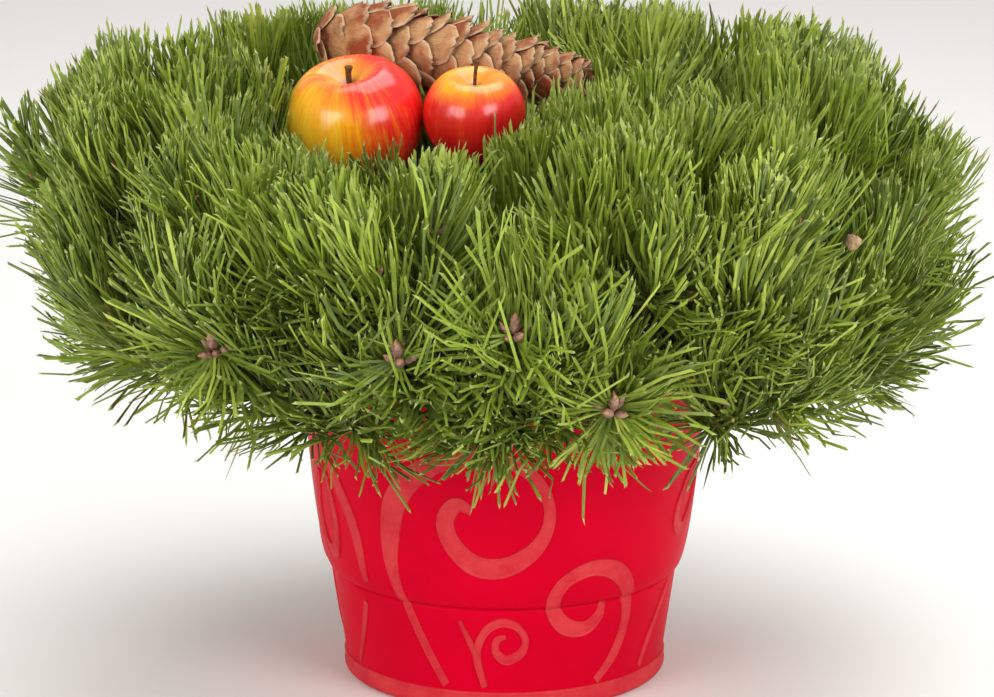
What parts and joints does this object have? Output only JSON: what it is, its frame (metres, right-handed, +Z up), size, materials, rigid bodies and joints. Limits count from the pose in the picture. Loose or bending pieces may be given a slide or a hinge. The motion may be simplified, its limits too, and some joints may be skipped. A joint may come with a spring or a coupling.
{
  "type": "potted pine shrub",
  "caption": "Potted young pine: a wide, low dome of long-needled shoots over a red glazed pot with raised scrolls, with apples and a long cone laid on top.",
  "frame": {"origin": "centre of the pot's flat underside, on the surface it stands on", "axes": "+Z up; the front that the picture shows faces -Y, and +X is to the right in the picture"},
  "size_m": [0.5344, 0.535, 0.3514],
  "materials": {
    "red_glaze": "gloss",
    "potting_soil": "matte",
    "bark": "matte",
    "needles": "satin",
    "apple_peel": "gloss",
    "cone_scales": "matte"
  },
  "bodies": {
    "root": {"apple_large": "apple_peel", "apple_small": "apple_peel", "bough_high_back_left": "bark", "bough_high_back_right": "bark", "bough_high_front_left": "bark", "bough_high_front_right": "bark", "bough_high_left": "bark", "bough_high_right": "bark", "bough_low_back": "bark", "bough_low_back_left": "bark", "bough_low_back_right": "bark", "bough_low_front": "bark", "bough_low_front_left": "bark", "bough_low_front_right": "bark", "bough_low_left": "bark", "bough_low_right": "bark", "bough_top_back": "bark", "bough_top_front": "bark", "bough_top_left": "bark", "bough_top_right": "bark", "cone": "cone_scales", "needles_high_back_left": "needles", "needles_high_back_right": "needles", "needles_high_front_left": "needles", "needles_high_front_right": "needles", "needles_high_left": "needles", "needles_high_right": "needles", "needles_low_back": "needles", "needles_low_back_left": "needles", "needles_low_back_right": "needles", "needles_low_front": "needles", "needles_low_front_left": "needles", "needles_low_front_right": "needles", "needles_low_left": "needles", "needles_low_right": "needles", "needles_top_back": "needles", "needles_top_front": "needles", "needles_top_left": "needles", "needles_top_right": "needles", "pot": "red_glaze", "soil": "potting_soil", "stem": "bark"}
  },
  "joints": []
}
